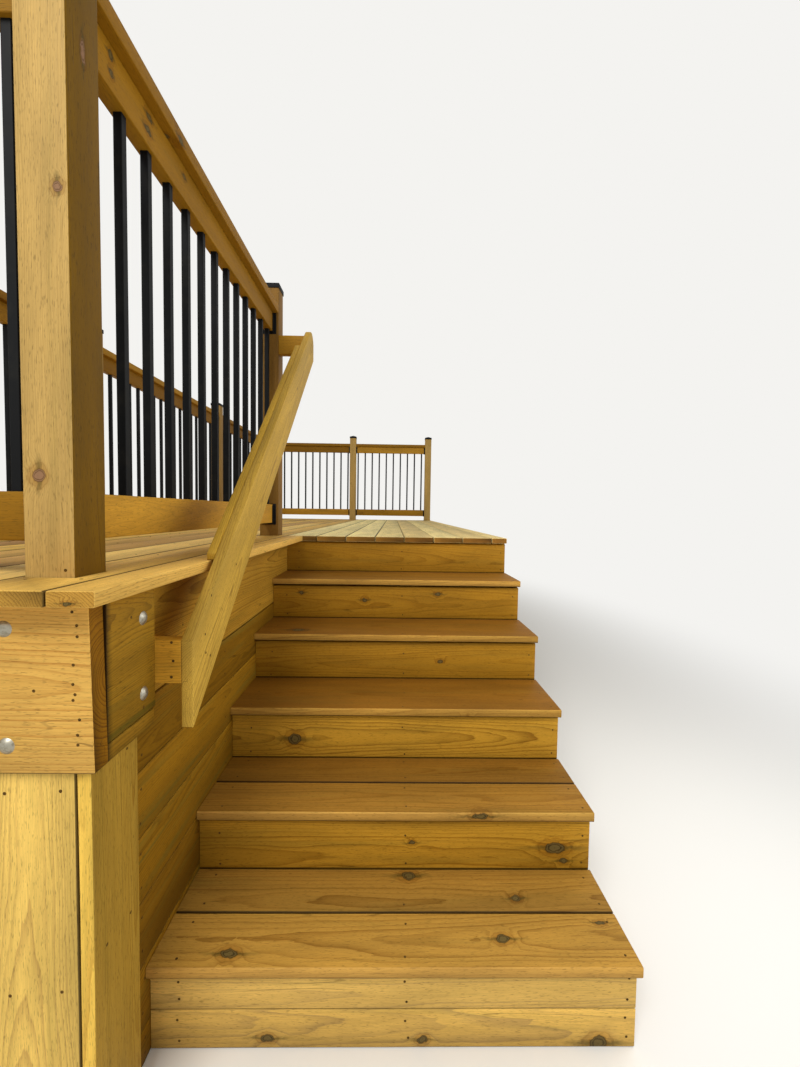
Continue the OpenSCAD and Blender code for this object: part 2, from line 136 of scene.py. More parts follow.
pine = {
    "early": "#c3924a",  # pale spring growth
    "late": "#8d5f27",  # dark summer growth
    "other": "#b5793c",  # redder boards
    "otherShare": 0.35,
    "pale": "#e3c884",  # paler boards
    "paleShare": 0.35,
    "spread": 0.09,  # light and dark boards
    "ring": 5.0 * mm,
    "contrast": 1.1,
    "warp": 26 * mm,  # how far rings wander along a board
    "ripple": 2.4 * mm,
    "swell": 8 * mm,  # how far a knot pushes the rings aside
    # how often a metre each noise changes along and across a board, where it starts, its detail and roughness
    "noises": {
        "slow": ((1.8, 11, 11), (0, 0, 0), 2.0, 0.45),  # 560 x 91 mm
        "small": ((11, 83, 83), (0, 0, 0), 2.0, 0.5),  # 91 x 12 mm
        "fibres": ((20, 700, 700), (0, 0, 0), 3.0, 0.6),  # 50 x 1.4 mm, coarser than real so that they show
        "patches": ((2.6, 17, 17), (7, 7, 7), 3.0, 0.5),  # 380 x 59 mm
        "streaks": ((1.7, 48, 48), (11, 3, 5), 2.0, 0.5),  # 590 x 21 mm
        "cracks": ((1.3, 30, 30), (23, 9, 2), 1.0, 0.5),  # 770 x 33 mm apart
        "flecks": ((75, 620, 620), (5, 2, 9), 1.0, 0.5),  # 13 x 1.6 mm
    },
    "green": 0.12,  # preservative streaks
    "salts": "#6c6a2b",
    "checks": 0.6,  # drying cracks
    "checkDark": 0.72,
    # how dark painted shade and some dirt in the gaps make an edge
    "shadeAndDirtDark": 0.86,
    "endDark": 0.24,
    "endRings": 0.45,  # rings are darker still on end grain
    "endTint": "#dcc9a0",
    "faceShade": "#6a4b01",  # painted shade on faces marked as such
    "pithAway": 85 * mm,
    "knotShare": 0.35,
    "knotCell": 330 * mm,
    "knotSizes": (4 * mm, 12 * mm),
    "knotShake": 7 * mm,  # how uneven their outlines are
    "knotCore": "#64542c",
    "knotRim": "#2e2511",
    "halo": "#c8ab78",  # browner wood round a knot
    "knots": (),  # places and half-sizes in mm, from the stair corner
    "streak": (0.22, 1.5, 1.5),  # streaks that run out of those knots, longest where this is smallest
    "streakTint": "#3f3d17",
    "stain": None,  # height, half-width in mm, colour and share of a green band along a board's edge
    "seam": None,  # first height and spacing in mm of painted shadow lines where other boards meet this one
    "rough": 0.6,
    "sheen": 0.12,  # bare sawn wood reflects little
}


def makePine(name, **changes):
    # Flat-sawn southern pine, pressure treated: rings round a pith beside the board, knots that push them
    # aside, fine fibres, drying checks and a trace of green salts, with a dull waxy sheen.
    look = {**pine, **changes}
    material, t = emptyMaterial(name)
    here = add(t, "TexCoord", out="Object")
    grain = add(t, "Attribute", out="Vector", attribute_name="grain")
    toneAndPaintedLight, endGrain, shadeAndDirt, faceShade = [add(t, "Attribute", out="Fac", attribute_name=kind)
                                   for kind in ("toneAndPaintedLight", "endGrain", "shadeAndDirt", "faceShade")]
    along, sideA, sideB = add(t, "SeparateXYZ", [grain], out=None).outputs

    # knots run out from the pith, so they are cells on the length and the angle round it
    shake = look["knotShake"]
    smallest, largest = look["knotSizes"]
    turn = add(t, "Math:ARCTAN2", [sideB, sideA])
    sheet = add(t, "CombineXYZ", [along, turn])
    jitter = add(t, "TexNoise", {"Vector": here, "Scale": 70.0, "Detail": 2.0}, out="Color")
    jitter = add(t, "VectorMath:MULTIPLY_ADD", [jitter, [2 * shake] * 3, [-shake] * 3])
    sheet = add(t, "VectorMath:MULTIPLY_ADD", [sheet, (1, look["pithAway"], 1), jitter])
    cells = add(t, "TexVoronoi", {"Vector": sheet, "Scale": 1 / look["knotCell"]}, out=None,
                voronoi_dimensions="2D")
    chance = add(t, "SeparateColor", [cells.outputs["Color"]], out=None)
    away = add(t, "Math:MULTIPLY", [cells.outputs["Distance"], look["knotCell"]])
    size = add(t, "Math:MULTIPLY_ADD", [chance.outputs[1], largest - smallest, smallest])
    rho = add(t, "Math:DIVIDE", [away, size])
    missing = add(t, "Math:GREATER_THAN", [chance.outputs[0], look["knotShare"]])
    rho = add(t, "Math:MULTIPLY_ADD", [missing, 50.0, rho])
    shaken = add(t, "VectorMath:ADD", [here, jitter])
    streakReach = 9.0
    for x, y, z, *halves in look["knots"]:
        scale = [1 / (half * mm) for half in halves]
        moved = [-p * s for p, s in zip(stairPoint(x, y, z), scale)]
        local = add(t, "Mapping", {"Vector": shaken, "Scale": scale, "Location": moved})
        reach = add(t, "VectorMath:LENGTH", [local], out="Value")
        rho = add(t, "Math:MINIMUM", [rho, reach])
        stretched = add(t, "VectorMath:MULTIPLY", [local, look["streak"]])
        stretched = add(t, "VectorMath:LENGTH", [stretched], out="Value")
        streakReach = add(t, "Math:MINIMUM", [streakReach, stretched])
    swell = add(t, "MapRange", [rho, 0.5, 4.2, 1.0, 0.0], interpolation_type="SMOOTHERSTEP")

    noise = {}
    for kind, (often, start, detail, roughness) in look["noises"].items():
        place = add(t, "VectorMath:MULTIPLY_ADD", [grain, often, start])
        noise[kind] = add(t, "TexNoise", {"Vector": place, "Scale": 1.0, "Detail": detail,
                                          "Roughness": roughness})

    # yearly rings, of uneven width and darkness
    radial = add(t, "VectorMath:MULTIPLY", [grain, (0, 1, 1)])
    bent = add(t, "VectorMath:LENGTH", [radial], out="Value")
    pushes = ((noise["slow"], look["warp"]), (noise["small"], look["ripple"]), (swell, look["swell"]))
    for push, reach in pushes:
        bent = add(t, "Math:MULTIPLY_ADD", [push, reach, bent])
    bentScaled = add(t, "Math:MULTIPLY", [bent, 45.0])
    widths = add(t, "TexNoise", {"W": bentScaled, "Scale": 1.0, "Detail": 1.0}, noise_dimensions="1D")
    years = add(t, "Math:MULTIPLY", [bent, 1 / look["ring"]])
    years = add(t, "Math:MULTIPLY_ADD", [widths, 3.0, years])
    season = add(t, "Math:FRACT", [years])
    ring = add(t, "ValToRGB", [season],
               stops=[(0.0, 0.65), (0.06, 0.0), (0.55, 0.10), (0.83, 0.62), (0.97, 1.0)])
    yearNumber = add(t, "Math:FLOOR", [years])
    which = add(t, "TexWhiteNoise", {"W": yearNumber}, noise_dimensions="1D")
    depth = add(t, "Math:MULTIPLY_ADD", [which, 0.55 * look["contrast"], 0.45 * look["contrast"]])
    ring = add(t, "Math:MULTIPLY", [ring, depth], use_clamp=True)

    # drying checks, where a board is patchy
    cracks = add(t, "Math:SUBTRACT", [noise["cracks"], 0.5])
    cracks = add(t, "Math:ABSOLUTE", [cracks])
    cracks = add(t, "MapRange", [cracks, 0.003, 0.010, 1.0, 0.0])
    cracked = add(t, "MapRange", [noise["patches"], 0.58, 0.66, 0.0, look["checks"]])
    cracks = add(t, "Math:MULTIPLY", [cracks, cracked])

    # colour: rings, redder and paler boards, painted sun and shade among them, preservative, stain and
    # painted shade on marked faces
    redder = add(t, "MapRange", [toneAndPaintedLight, -0.1, 1.0, 0.0, look["otherShare"]])
    paler = add(t, "MapRange", [toneAndPaintedLight, -0.3, -1.0, 0.0, look["paleShare"]])
    greened = add(t, "MapRange", [noise["streaks"], 0.54, 0.72, 0.0, look["green"]])
    tints = [(ring, look["late"]), (redder, look["other"]), (paler, look["pale"]), (greened, look["salts"])]
    if look["stain"]:
        level, width, tint, share = look["stain"]
        over = add(t, "SeparateXYZ", [here], out="Z")
        over = add(t, "Math:MULTIPLY_ADD", [noise["streaks"], 22 * mm, over])
        over = add(t, "Math:SUBTRACT", [over, (level + 11) * mm])
        over = add(t, "Math:ABSOLUTE", [over])
        over = add(t, "MapRange", [over, 0.0, width * mm, share, 0.0], interpolation_type="SMOOTHERSTEP")
        tints.append((over, tint))
    color = linear(look["early"])
    for share, tint in tints + [(faceShade, look["faceShade"])]:
        color = add(t, "Mix", {0: share, 6: color, 7: linear(tint)}, out=2, data_type="RGBA")
    color = add(t, "Mix", {0: endGrain, 6: color, 7: linear(look["endTint"])}, out=2, data_type="RGBA",
                blend_type="MULTIPLY")

    # light and dark: fibres, patches, flecks, whole boards, end grain, painted shade and some dirt, and
    # checks
    # painted shadow lines in the creases where other boards meet this one
    if look["seam"]:
        firstShadowLine, spacing = look["seam"]
        over = add(t, "SeparateXYZ", [here], out="Z")
        over = add(t, "Math:MAXIMUM", [over, (firstShadowLine - spacing / 2) * mm])
        over = add(t, "Math:SUBTRACT", [over, firstShadowLine * mm])
        over = add(t, "Math:PINGPONG", [over, spacing / 2 * mm])
        shadowLine = add(t, "MapRange", [over, 2.5 * mm, 5.0 * mm, 1.0, 0.0])
        shadeAndDirt = add(t, "Math:MAXIMUM", [shadeAndDirt, shadowLine])
    lit = add(t, "Math:MULTIPLY_ADD", [noise["fibres"], 0.62, 0.69])
    patchy = add(t, "MapRange", [noise["patches"], 0.3, 0.7, 0.83, 1.16])
    flecked = add(t, "MapRange", [noise["flecks"], 0.60, 0.70, 1.0, 0.66])
    endRing = add(t, "Math:MULTIPLY", [ring, endGrain])
    factors = [patchy, flecked]
    for what, share in ((toneAndPaintedLight, look["spread"]), (endGrain, look["endDark"]), (endRing, look["endRings"]),
                        (shadeAndDirt, look["shadeAndDirtDark"]), (cracks, look["checkDark"])):
        factors.append(add(t, "Math:MULTIPLY_ADD", [what, -share, 1.0]))
    for factor in factors:
        lit = add(t, "Math:MULTIPLY", [lit, factor])
    color = add(t, "VectorMath:SCALE", {0: color, "Scale": lit})

    # the knot itself: grey-brown core with a dark rim, in a browner halo and grey-green streaks
    halo = add(t, "MapRange", [rho, 0.9, 2.3, 0.6, 0.0])
    outline = add(t, "Math:SUBTRACT", [rho, 1.75])
    outline = add(t, "Math:ABSOLUTE", [outline])
    outline = add(t, "MapRange", [outline, 0.03, 0.17, 0.25, 0.0])
    half = add(t, "Math:MULTIPLY", [rho, 0.5])
    coreTint, rimTint = linear(look["knotCore"]), linear(look["knotRim"])
    core = add(t, "ValToRGB", [half], stops=[
        (0.0, rimTint), (0.07, coreTint), (0.26, coreTint), (0.34, rimTint), (0.42, coreTint),
        (0.50, rimTint), (0.60, linear(look["late"]))])
    inside = add(t, "MapRange", [rho, 0.98, 1.22, 0.92, 0.0])
    layers = [(halo, linear(look["halo"]), "MULTIPLY")]
    if look["knots"]:
        trail = add(t, "MapRange", [streakReach, 0.2, 1.0, 1.5, 0.0])
        trail = add(t, "Math:MULTIPLY", [trail, noise["fibres"]])
        layers.append((trail, linear(look["streakTint"]), "MIX"))
    for share, tint, blend in layers + [(outline, linear(look["late"]), "MULTIPLY"), (inside, core, "MIX")]:
        color = add(t, "Mix", {0: share, 6: color, 7: tint}, out=2, data_type="RGBA", blend_type=blend)

    height = add(t, "Math:MULTIPLY", [noise["fibres"], 0.14 * mm])
    for what, rise in ((ring, 0.13 * mm), (cracks, -0.7 * mm)):
        height = add(t, "Math:MULTIPLY_ADD", [what, rise, height])
    bump = add(t, "Bump", {"Strength": 0.85, "Distance": 1.0, "Height": height})
    rough = add(t, "Math:MULTIPLY_ADD", [noise["fibres"], 0.22, look["rough"] - 0.11])
    shader = add(t, "BsdfPrincipled", {"Base Color": color, "Roughness": rough, "Normal": bump,
                                       "Specular IOR Level": look["sheen"]})
    add(t, "OutputMaterial", {"Surface": shader}, out=None)
    return material


def makePowderCoat(name, color, roughness):
    # Baked polyester powder on aluminium: fine orange peel, a little dust.
    material, t = emptyMaterial(name)
    here = add(t, "TexCoord", out="Object")
    peel = add(t, "TexNoise", {"Vector": here, "Scale": 900.0, "Detail": 2.0})
    dust = add(t, "TexNoise", {"Vector": here, "Scale": 22.0, "Detail": 4.0})
    dusty = add(t, "MapRange", [dust, 0.5, 0.8, 0.0, 0.22])
    tint = add(t, "Mix", {0: dusty, 6: linear(color), 7: linear("#3b382f")}, out=2, data_type="RGBA")
    rough = add(t, "Math:MULTIPLY_ADD", [dust, 0.18, roughness - 0.09])
    bump = add(t, "Bump", {"Strength": 0.25, "Distance": 0.2 * mm, "Height": peel})
    shader = add(t, "BsdfPrincipled", {"Base Color": tint, "Roughness": rough, "Normal": bump,
                                       "Specular IOR Level": 0.14})
    add(t, "OutputMaterial", {"Surface": shader}, out=None)
    return material


def makeZinc(name, color, stain, stainShare, roughness):
    # Hot-dipped zinc: faint spangle, dull patches and stains from the wet wood.
    material, t = emptyMaterial(name)
    here = add(t, "TexCoord", out="Object")
    spangle = add(t, "TexVoronoi", {"Vector": here, "Scale": 420.0}, out="Color")
    flake = add(t, "SeparateColor", [spangle])
    dull = add(t, "TexNoise", {"Vector": here, "Scale": 160.0, "Detail": 4.0})
    stained = add(t, "MapRange", [dull, 0.48, 0.66, 0.0, stainShare])
    tint = add(t, "Mix", {0: stained, 6: linear(color), 7: linear(stain)}, out=2, data_type="RGBA")
    rough = add(t, "Math:MULTIPLY_ADD", [flake, 0.14, roughness])
    bump = add(t, "Bump", {"Strength": 0.3, "Distance": 0.15 * mm, "Height": dull})
    shader = add(t, "BsdfPrincipled", {"Base Color": tint, "Metallic": 0.85, "Roughness": rough,
                                       "Normal": bump})
    add(t, "OutputMaterial", {"Surface": shader}, out=None)
    return material


# knots that the photograph shows, as centres and half-sizes in mm; the other ones fall by chance
treadKnots = (
    (168, 15, 205, 17, 11, 14), (787, 51, 205, 16, 10, 14), (1034, 94, 205, 10, 6, 10),
    (574, 240, 205, 17, 14, 16), (848, 165, 205, 11, 9, 12), (767, 245, 368, 20, 15, 8),
    (152, 838, 723, 24, 17, 12))
riserKnots = (
    (256, 0, 24, 14, 14, 9), (600, 0, 19, 11, 14, 8), (994, 0, 10, 20, 16, 15), (583, 264, 279, 8, 12, 5),
    (981, 264, 266, 27, 20, 15), (1005, 264, 229, 10, 14, 7), (205, 528, 440, 20, 20, 17),
    (400, 1056, 803, 10, 14, 8), (721, 1056, 832, 11, 14, 8), (122, 1056, 833, 9, 14, 7))
postKnots = ((-99, -160, 1246, 10, 14, 12), (-57, -160, 1735, 8, 14, 9), (-38, -116, 1994, 12, 5, 18))
railKnots = (
    (-63.5, 160, 2106, 12, 13, 8), (-63.5, 154, 2072, 12, 13, 8), (-38, 269, 2136, 12, 14, 8),
    (-63.5, 345, 2098, 12, 9, 6), (-63.5, 10, 2106, 12, 7, 9), (-63.5, 12, 2072, 12, 6, 8))
deckKnots = ((36, -293, 1049, 6, 8, 3),)

# the flight: honey-brown sawn boards in half shade; the upper treads and risers painted darker and redder for
# the shade on them
treadPine = makePine(
    "sawnPineTreads", early="#b28637", late="#7f5518", other="#7e4c00", otherShare=0.8, pale="#c99d55",
    spread=0.16, ring=5.6 * mm, contrast=0.8, knots=treadKnots, knotShare=0.06)
# the risers with painted shadow lines where the treads meet them
riserPine = makePine(
    "sawnPineRisers", early="#cc9a30", late="#885c14", other="#a87208", otherShare=0.6, spread=0.16,
    ring=6.0 * mm, contrast=0.9, green=0.16, knots=riserKnots, knotShare=0.05,
    seam=(steps["firstTop"], steps["rise"]))
# decking: boards painted pale where the sun fell and brown in the shade, the wing's board ends pale for the
# light on them
deckPine = makePine(
    "sawnPineDecking", early="#efc25e", late="#c8953b", other="#b9824a", otherShare=0.8, spread=0.18,
    ring=4.0 * mm, contrast=0.8, rough=0.64, knots=deckKnots, knotShare=0.2, endDark=0.1, endTint="#e8dcc0")
# the landing painted brighter, as if in sunlight
landingPine = makePine(
    "sunlitPineDecking", early="#ffea9e", late="#f2cf84", other="#c08c40", otherShare=0.8, pale="#ffe9a4",
    spread=0.12, ring=4.0 * mm, contrast=0.7, green=0.06, rough=0.64, knotShare=0.2, endDark=0.4,
    endTint="#c49a60")
# skirting: green streaks of fresh treatment, painted dark on the stair side, partly for the shade there, and
# yellow in front
skirtPine = makePine(
    "sawnPineSkirting", early="#906611", late="#5c3c04", other="#78500f", pale="#aa7b1d", ring=3.4 * mm,
    contrast=0.9, green=0.42, knotShare=0.3)
frontPine = makePine(
    "sawnPineUprights", early="#e8bd50", late="#b98a30", other="#cda044", ring=3.6 * mm, green=0.2,
    knotShare=0.15, checks=0.8)
# framing: wide rings on the front board, its end painted darker partly for shade, a green stain along the
# rough side plank
fasciaPine = makePine(
    "sawnPineFrontBoard", early="#e8b85c", late="#b57a30", other="#d9a048", knotShare=0.1, ring=7.0 * mm,
    contrast=0.85, endDark=0.22, endTint="#b8a03c")
plyPine = makePine(
    "roughSawnSidePlank", early="#a3791c", late="#67460b", other="#91651c", ring=3.2 * mm, contrast=0.85,
    warp=40 * mm, green=0.15, knotShare=0.1, stain=(796, 12, "#57581a", 0.55))
framePine = makePine("sawnPineFraming", early="#b88a2c", late="#825812", other="#a3742c", green=0.25)
# posts and rails: planed, so the rings are faint, with dark streaks at the knots
railPine = makePine(
    "planedPineRails", early="#b08121", late="#7c550f", other="#8c5f08", otherShare=0.8, pale="#cf9a38",
    paleShare=0.5, ring=2.8 * mm, contrast=0.65, spread=0.14, knotShare=0.1, knots=railKnots,
    streak=(1.5, 0.3, 1.5))
postPine = makePine(
    "planedPinePosts", early="#b99756", late="#967233", other="#7c520e", otherShare=0.85, pale="#c3b084",
    ring=3.0 * mm, contrast=0.5, knotShare=0.08, knotCore="#8f6b4e", knotRim="#5c4026", knots=postKnots,
    streak=(1.5, 1.5, 0.3), checks=0.8)
handPine = makePine(
    "planedPineHandrail", early="#bb9432", late="#896113", other="#a27b25", ring=3.6 * mm, contrast=0.9,
    green=0.10, knotShare=0.1)
blockPine = makePine(
    "sawnPineBlock", early="#c8922a", late="#906414", other="#a87820", pale="#d8a440", ring=3.6 * mm,
    contrast=0.9, knotShare=0.0)
blackCoat = makePowderCoat("blackPowderCoat", "#070809", 0.58)
boltZinc = makeZinc("hotDippedZinc", "#a9a494", "#6d6148", 0.5, 0.34)
screwZinc = makeZinc("weatheredScrewHeads", "#6b4f22", "#3c2a10", 0.8, 0.6)
print("materials made:", len(bpy.data.materials))

boards = {
    "merge": 0.01,  # corners this near are one, mm
    "stations": 12,  # lengths that a board is drawn in
    "endRound": 1.2,
    "wander": 0.25,  # how far a board bows
    "usualPith": (180, 180, 100, 45),  # degrees and their spread, mm and their spread
    "runOut": 0.03,  # how far the pith slants, in mm a mm
    "tree": 40.0,  # metres of wood that the boards are cut from
    "gapReach": 8.0,  # a board's edge this near the node's own is its outer edge
    "bevelFrom": 25.0,  # degrees
    "sharpFrom": 38.0,
}


def solidsOf(node):
    # lowest and highest corner of each separate solid in a CAD node
    shape = bmesh.new()
    shape.from_mesh(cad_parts[node].data)
    bmesh.ops.remove_doubles(shape, verts=shape.verts, dist=boards["merge"] * mm)
    found = []
    for part in looseParts(shape):
        places = [shape.verts[i].co for i in part]
        low = Vector([min(p[i] for p in places) for i in range(3)])
        high = Vector([max(p[i] for p in places) for i in range(3)])
        found.append((low, high))
    shape.free()
    found.sort(key=lambda b: tuple(round(c, 4) for c in b[0]))
    return found


def meshOf(shape, name):
    # the finished mesh; the working one is let go
    mesh = bpy.data.meshes.new(name)
    shape.to_mesh(mesh)
    shape.free()
    return mesh


def looseParts(shape):
    # vertex numbers of each separate part
    shape.verts.index_update()
    shape.verts.ensure_lookup_table()
    done = set()
    parts = []
    for start in shape.verts:
        if start.index in done:
            continue
        part, queue = [start.index], [start]
        done.add(start.index)
        while queue:
            for edge in queue.pop().link_edges:
                for v in edge.verts:
                    if v.index not in done:
                        done.add(v.index)
                        part.append(v.index)
                        queue.append(v)
        parts.append(part)
    return parts


def roundedOutline(width, depth, radius, segments):
    points = []
    for cx, cy, start in ((1, 1, 0), (-1, 1, 90), (-1, -1, 180), (1, -1, 270)):
        for i in range(segments + 1):
            a = math.radians(start + 90 * i / segments)
            points.append((cx * (width / 2 - radius) + radius * math.cos(a),
                           cy * (depth / 2 - radius) + radius * math.sin(a)))
    return points


def boardMesh(low, high, along, radius, rng):
    # eased long edges, slightly softened saw cuts and a hint of wander along the length
    stations, endRound, wander = boards["stations"], boards["endRound"] * mm, boards["wander"] * mm
    size = high - low
    others = [i for i in range(3) if i != along]
    length = size[along]
    width, depth = size[others[0]], size[others[1]]
    outline = roundedOutline(width, depth, radius, 3)
    inner = roundedOutline(width - 2 * endRound, depth - 2 * endRound, max(radius - endRound, 0.3 * mm), 3)
    middle = (low + high) / 2
    rows = [(0.0, inner), (endRound, outline)]
    rows += [(endRound + (length - 2 * endRound) * i / stations, outline) for i in range(1, stations)]
    rows += [(length - endRound, outline), (length, inner)]
    drift = [rng.uniform(-1, 1) * wander for _ in range(4)]
    shape = bmesh.new()
    rings = []
    for place, points in rows:
        f = place / length
        sideways = math.sin(math.pi * f) * drift[0] + math.sin(2 * math.pi * f) * drift[1]
        upright = math.sin(math.pi * f) * drift[2] + math.sin(2 * math.pi * f) * drift[3]
        ring = []
        for a, b in points:
            co = [0, 0, 0]
            co[along] = low[along] + place
            co[others[0]] = middle[others[0]] + a * (1 - 2 * abs(sideways) / width) + sideways
            co[others[1]] = middle[others[1]] + b * (1 - 2 * abs(upright) / depth) + upright
            ring.append(shape.verts.new(co))
        rings.append(ring)
    count = len(outline)
    for one, two in zip(rings, rings[1:]):
        for i in range(count):
            j = (i + 1) % count
            shape.faces.new((one[i], one[j], two[j], two[i]))
    shape.faces.new(list(reversed(rings[0])))
    shape.faces.new(rings[-1])
    bmesh.ops.recalc_face_normals(shape, faces=shape.faces)
    return meshOf(shape, "board")


def cutBoxes(mesh, boxes):
    # saw square openings or notches with one cutter made of closed boxes
    cutter = bmesh.new()
    for low, high in boxes:
        cube = bmesh.ops.create_cube(cutter, size=1.0)
        bmesh.ops.scale(cutter, vec=high - low, verts=cube["verts"])
        bmesh.ops.translate(cutter, vec=(low + high) / 2, verts=cube["verts"])
    cutterObject = inScene("cutter", meshOf(cutter, "cutter"))
    work = inScene("work", mesh)
    saw = work.modifiers.new("saw", "BOOLEAN")
    saw.operation = "DIFFERENCE"
    saw.solver = "EXACT"
    saw.object = cutterObject
    result = bpy.data.meshes.new_from_object(work.evaluated_get(bpy.context.evaluated_depsgraph_get()))
    bpy.data.objects.remove(work)
    bpy.data.objects.remove(cutterObject)
    return result


def grainOn(shape, direction, rng, pith=None, shade=None):
    # solid-wood coordinates on each loose part: x along the board, y and z from the tree's pith beside it;
    # a pith is a direction in degrees and its spread, a distance in mm and its spread
    if abs(direction.z) > 0.9:
        sideA = Vector((1, 0, 0))
    elif abs(direction.x) > 0.9:
        sideA = Vector((0, 1, 0))
    else:
        sideA = Vector((-1, 0, 0))
    sideB = direction.cross(sideA)
    grain = shape.verts.layers.float_vector.new("grain")
    toneAndPaintedLight = shape.verts.layers.float.new("toneAndPaintedLight")
    endGrain = shape.faces.layers.float.new("endGrain")
    for part in looseParts(shape):
        group = [shape.verts[i] for i in part]
        turn, turnSpread, away, awaySpread = pith or boards["usualPith"]
        turn += rng.uniform(-1, 1) * turnSpread
        away += rng.uniform(-1, 1) * awaySpread
        center = sum((v.co for v in group), Vector()) / len(group)
        offset = (away * mm * math.cos(math.radians(turn)), away * mm * math.sin(math.radians(turn)))
        tilt = (rng.uniform(-1, 1) * boards["runOut"], rng.uniform(-1, 1) * boards["runOut"])
        shift = rng.uniform(0, boards["tree"])
        chance = rng.uniform(-1, 1)
        for v in group:
            place = v.co - center
            x = place.dot(direction)
            v[grain] = Vector((x + shift, place.dot(sideA) + offset[0] + tilt[0] * x,
                               place.dot(sideB) + offset[1] + tilt[1] * x))
            v[toneAndPaintedLight] = chance if shade is None else shade
    for face in shape.faces:
        face[endGrain] = 1.0 if abs(face.normal.dot(direction)) > 0.8 else 0.0


def paintShadeAndDirt(shape, sides, low, high):
    # painted shade, with some dirt, in the gaps, on the eased edges of the given sides; a side's second value
    # says whether the node's own outer edge is darkened too
    shadeAndDirt = shape.verts.layers.float.new("shadeAndDirt")
    shape.normal_update()
    for v in shape.verts:
        for side, outer in sides:
            i = max(range(3), key=lambda k: abs(side[k]))
            limit = high[i] if side[i] > 0 else low[i]
            if outer or abs(v.co[i] - limit) > boards["gapReach"] * mm:
                v[shadeAndDirt] = max(v[shadeAndDirt], min(1.0, max(0.0, (v.normal.dot(side) + 0.03) / 0.5)))


def placePiece(name, mesh, material, nodes=()):
    # smooth faces with sharp edges, one material, and its place in the model
    mesh.name = name
    piece = inScene(name, mesh)
    mesh.materials.clear()
    mesh.materials.append(material)
    mesh.shade_smooth()
    mesh.set_sharp_from_angle(angle=math.radians(boards["sharpFrom"]))
    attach(piece, "root")
    if nodes:
        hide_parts(*nodes)
    return piece


axisVectors = [Vector((1, 0, 0)), Vector((0, 1, 0)), Vector((0, 0, 1))]


def boardsFor(node, material, seed, radius, cuts=(), along=None, pith=None, shadesAndTones=(), dark=(), highlight=0.0):
    # every solid of a node that is a plain board becomes one with eased edges and its own grain;
    # shadesAndTones run from -1, light, to 1, dark and red, as board tone and as painted sun and shade; dark
    # names the sides with painted shade and some dirt in their gaps; highlight paints light on the front
    # board's front face
    rng = random.Random(seed)
    total = bmesh.new()
    for number, (low, high) in enumerate(solidsOf(node)):
        size = high - low
        axis = max(range(3), key=lambda i: size[i]) if along is None else along
        mesh = boardMesh(low, high, axis, radius * mm, rng)
        near = [c for c in cuts if all(c[0][i] < high[i] and c[1][i] > low[i] for i in range(3))]
        if near:
            mesh = cutBoxes(mesh, near)
        one = bmesh.new()
        one.from_mesh(mesh)
        grainOn(one, axisVectors[axis], rng, pith, shadesAndTones[number] if number < len(shadesAndTones) else None)
        paintShadeAndDirt(one, dark, *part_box(node))
        toneAndPaintedLight = one.verts.layers.float["toneAndPaintedLight"]
        # painted highlight on the front face of the front board
        for v in one.verts:
            if highlight and low.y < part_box(node)[0].y + 1 * mm and v.normal.dot(front) > 0.4:
                v[toneAndPaintedLight] = max(-1.0, v[toneAndPaintedLight] - highlight)
        one.to_mesh(mesh)
        one.free()
        total.from_mesh(mesh)
        bpy.data.meshes.remove(mesh)
    return placePiece(node + "Boards", meshOf(total, node), material, [node])


def paintFaceShade(piece, side, share):
    # painted shade: the face on this side of a board is darkened for the shade on it
    faceShade = piece.data.attributes.new("faceShade", "FLOAT", "FACE")
    for face in piece.data.polygons:
        faceShade.data[face.index].value = share if face.normal.dot(side) > 0.7 else 0.0


def easedCopy(node, material, bevel, segments, direction=None, seed=1):
    # a node with curves or notches: its own faces, merged, with the sharp edges softened
    shape = bmesh.new()
    shape.from_mesh(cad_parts[node].data)
    bmesh.ops.remove_doubles(shape, verts=shape.verts, dist=boards["merge"] * mm)
    bmesh.ops.dissolve_limit(shape, angle_limit=math.radians(1), verts=shape.verts, edges=shape.edges)
    angle = math.radians(boards["bevelFrom"])
    sharp = [e for e in shape.edges if len(e.link_faces) == 2 and e.calc_face_angle() > angle]
    bmesh.ops.bevel(shape, geom=sharp, offset=bevel * mm, segments=segments, profile=0.5, affect="EDGES",
                    clamp_overlap=True)
    bmesh.ops.recalc_face_normals(shape, faces=shape.faces)
    if direction:
        grainOn(shape, direction, random.Random(seed))
    return placePiece(node + "Eased", meshOf(shape, node), material, [node])


left, front, down = -axisVectors[0], -axisVectors[1], -axisVectors[2]
right, back, up = axisVectors
flight = {
    "treadEdge": 3.5,  # mm
    "riserEdge": 3.0,
    "deckEdge": 3.5,
    "stringerEdge": 1.2,
    "postSlack": 2.0,  # round a post that comes through the decking
    "noseHighlight": 1.4,  # painted highlight: paler front faces of the nosings, where light catches them
    # where the pith lay
    "treadPith": (90, 30, 62, 20),
    "riserPith": (180, 28, 58, 18),
    "deckPith": (90, 40, 80, 30),
    # sides painted with shade, and some dirt, in the gaps
    "treadShadeAndDirt": ((front, False), (down, True)),
    "riserShadeAndDirt": ((down, True),),
    "deckShadeAndDirt": ((right, False),),
    # tone and painted sun and shade: a tuple for each tread, risers going up, decking from left and from
    # front
    "treadToneAndShade": ((-0.2, 0.1), (0.5, 0.7), (0.95,), (0.95,), (0.8,)),
    "riserToneAndShade": (-0.9, -1, 0.4, 0.1, 0.9, 1, 1),
    "wingToneAndSun": (0.2, 0.5, -0.4, 0.1, 0.7, -0.2, -0.6, 0.3, 0.9, -0.5, -0.2, 0.6, 0.4, -0.3, 0.6, 0.1, -0.9,
                  0.2, 0.1, 0.3, 0.2),
    "landingSunAndShade": (-0.9, -0.7, -0.9, 0.15, 0.4, 0.1, 0.4, 0.3, 0.2),
}
slack = Vector((1, 1, 0)) * flight["postSlack"] * mm
